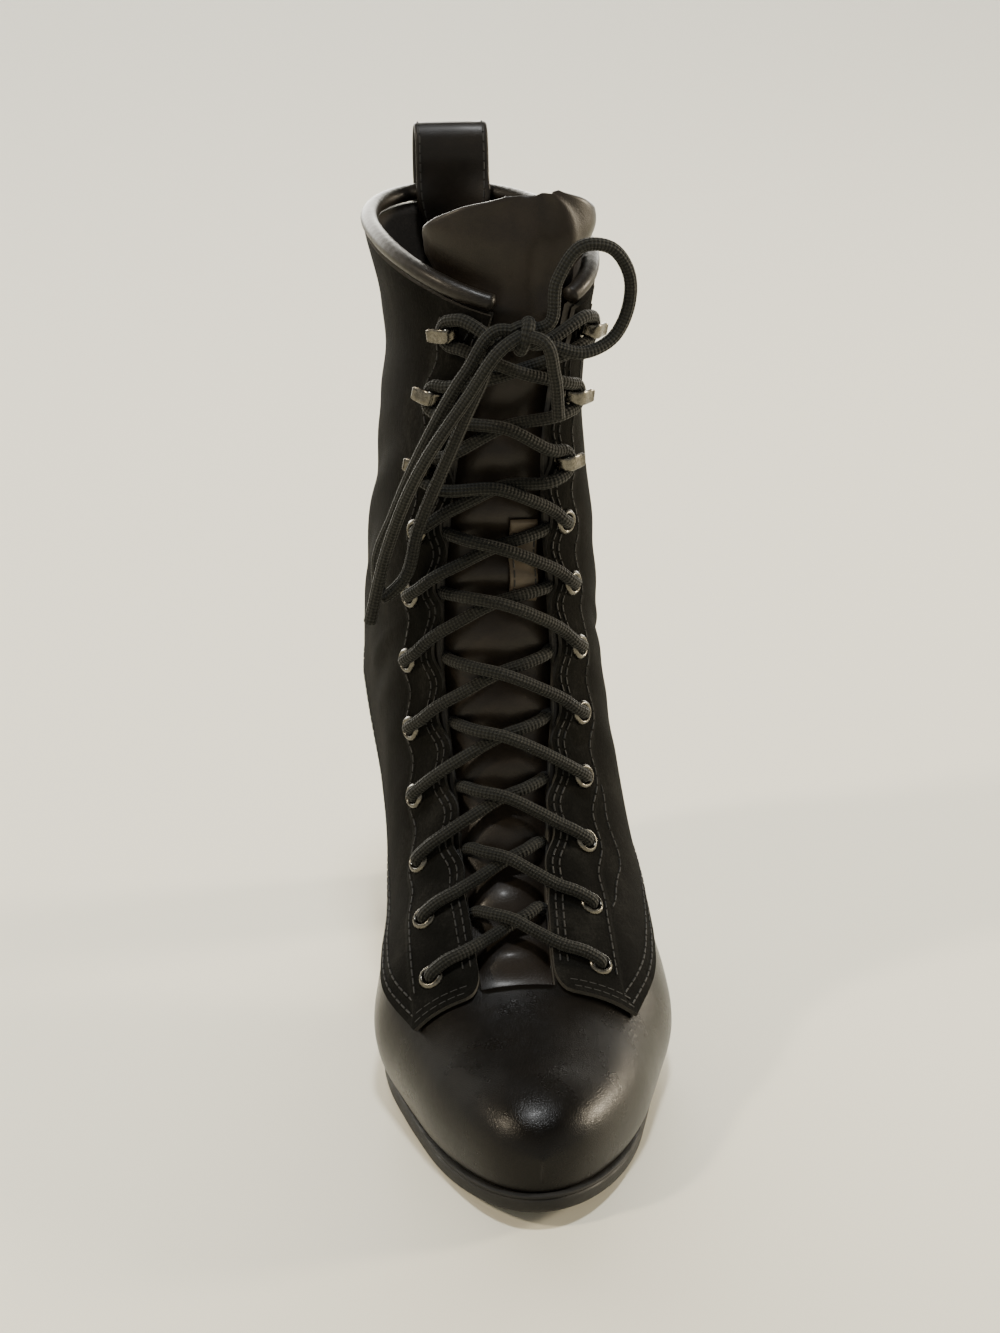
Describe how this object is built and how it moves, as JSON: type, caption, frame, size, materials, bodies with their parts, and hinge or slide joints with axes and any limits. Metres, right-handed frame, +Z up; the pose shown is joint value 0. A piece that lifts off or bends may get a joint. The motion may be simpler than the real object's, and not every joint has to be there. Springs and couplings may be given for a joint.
{
  "type": "heeled lace-up boot",
  "caption": "Left heeled lace-up boot with smooth leather vamp, suede quarters, eyelets and hooks, padded tongue, collar roll, pull loop and block heel.",
  "frame": {"origin": "on the floor, under the middle of the boot's box measured without the bow", "axes": "+Z up from the floor, -Y to the toe, +X to the outer side of the foot"},
  "size_m": [0.0962, 0.2416, 0.282],
  "materials": {
    "leather": "smooth, soft gloss",
    "suede": "matte nap",
    "sole": "matte",
    "lining": "matte",
    "metal": "dark polished",
    "lace": "braided"
  },
  "bodies": {
    "root": {"outsole": "sole", "insole": "lining", "heel": "leather", "heel_top_piece": "sole", "upper": "leather", "quarter_inner": "suede", "quarter_outer": "suede", "tongue": "leather", "tongue_tab": "leather", "collar_binding": "leather", "pull_loop": "leather", "eyelet_inner_01": "metal", "eyelet_inner_02": "metal", "eyelet_inner_03": "metal", "eyelet_inner_04": "metal", "eyelet_inner_05": "metal", "eyelet_inner_06": "metal", "eyelet_inner_07": "metal", "eyelet_inner_08": "metal", "eyelet_outer_01": "metal", "eyelet_outer_02": "metal", "eyelet_outer_03": "metal", "eyelet_outer_04": "metal", "eyelet_outer_05": "metal", "eyelet_outer_06": "metal", "eyelet_outer_07": "metal", "eyelet_outer_08": "metal", "hook_inner_09": "metal", "hook_inner_10": "metal", "hook_inner_11": "metal", "hook_outer_09": "metal", "hook_outer_10": "metal", "hook_outer_11": "metal", "lace_cross_01": "lace", "lace_cross_02": "lace", "lace_cross_03": "lace", "lace_cross_04": "lace", "lace_cross_05": "lace", "lace_cross_06": "lace", "lace_cross_07": "lace", "lace_cross_08": "lace", "lace_cross_09": "lace", "lace_cross_10": "lace", "lace_cross_11": "lace", "lace_knot": "lace", "lace_loop_inner": "lace", "lace_end_inner": "lace", "lace_loop_outer": "lace", "lace_end_outer": "lace"}
  },
  "joints": []
}
